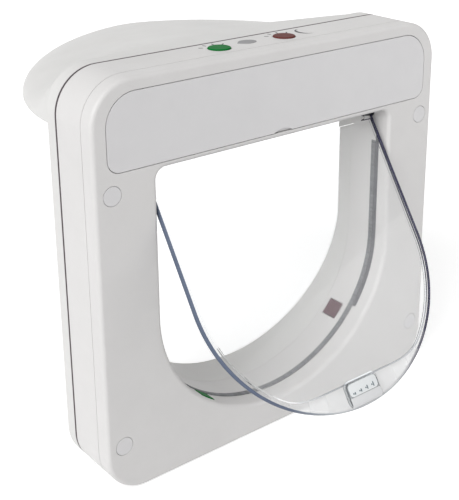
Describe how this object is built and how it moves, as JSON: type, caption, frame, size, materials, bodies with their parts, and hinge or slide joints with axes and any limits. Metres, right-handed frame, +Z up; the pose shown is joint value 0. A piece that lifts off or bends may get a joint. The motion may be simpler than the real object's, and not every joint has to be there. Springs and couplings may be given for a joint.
{
  "type": "cat flap",
  "caption": "Cat flap with an indoor frame, an outdoor frame with a rain hood, a swinging clear flap, a battery cover, push buttons and pop-up latches.",
  "frame": {"origin": "middle of the frame's bottom face, in the plane of the closed flap", "axes": "+X to the right as seen from indoors, +Y outdoors, +Z up"},
  "size_m": [0.24, 0.262, 0.2307],
  "materials": {
    "white_shell": "satin off-white moulding",
    "white_trim": "satin off-white moulding",
    "seal_foam": "matte foam",
    "grey_brush": "matte pile",
    "copper_wire": "enamelled wire",
    "steel": "zinc plated",
    "brass_insert": "turned",
    "cell_wrap": "plain sleeve",
    "board_green": "solder mask",
    "chip_black": "moulded package",
    "green_plastic": "gloss",
    "red_plastic": "gloss",
    "clear_plastic": "clear moulding",
    "clear_tab": "frosted moulding",
    "dark_plastic": "satin",
    "magnet": "sintered",
    "lead_sleeve": "flexible sleeve"
  },
  "bodies": {
    "frame": {"inner_fascia": "white_shell", "inner_housing": "white_shell", "outer_frame": "white_shell", "door_seal": "seal_foam", "draught_strip": "grey_brush", "aerial_coil": "copper_wire", "screw_plugs": "white_trim", "fixing_bolts": "steel", "thread_inserts": "brass_insert", "shell_screws": "steel", "battery_tray": "white_shell", "battery_cells": "cell_wrap", "battery_contacts": "steel", "control_board": "board_green", "board_screws": "steel", "board_chips": "chip_black", "sounder": "chip_black", "button_board": "board_green", "button_switches": "chip_black", "hinge_bushes": "dark_plastic", "keeper_magnet": "magnet", "entry_coil": "copper_wire", "exit_coil": "copper_wire", "entry_lead": "lead_sleeve", "exit_lead": "lead_sleeve"},
    "flap": {"flap_pane": "clear_plastic", "hinge_pins": "steel", "magnet_holder": "clear_tab", "flap_magnet": "magnet"},
    "cover": {"cover_panel": "white_trim"},
    "entry_push": {"entry_button": "green_plastic"},
    "exit_push": {"exit_button": "red_plastic"},
    "entry_bolt": {"entry_latch": "green_plastic", "entry_plunger": "steel"},
    "exit_bolt": {"exit_latch": "red_plastic", "exit_plunger": "steel"}
  },
  "joints": [
    {"name": "flap_swing", "type": "hinge", "parent": "frame", "child": "flap", "pos_m": [0, 0, 0.1759], "axis": [1, 0, 0], "range_deg": [-45, 110]},
    {"name": "cover_pull", "type": "slide", "parent": "frame", "child": "cover", "axis": [0, -1, 0], "range_m": [0, 0.04]},
    {"name": "entry_press", "type": "slide", "parent": "frame", "child": "entry_push", "axis": [0, 0, -1], "range_m": [0, 0.0008], "stiffness_N_per_m": 1500, "springref_m": -0.0004},
    {"name": "exit_press", "type": "slide", "parent": "frame", "child": "exit_push", "axis": [0, 0, -1], "range_m": [0, 0.0008], "stiffness_N_per_m": 1500, "springref_m": -0.0004},
    {"name": "entry_lock", "type": "slide", "parent": "frame", "child": "entry_bolt", "axis": [0.5974, 0, 0.802], "range_m": [0, 0.008]},
    {"name": "exit_lock", "type": "slide", "parent": "frame", "child": "exit_bolt", "axis": [-0.7327, 0, 0.6805], "range_m": [0, 0.008]}
  ]
}
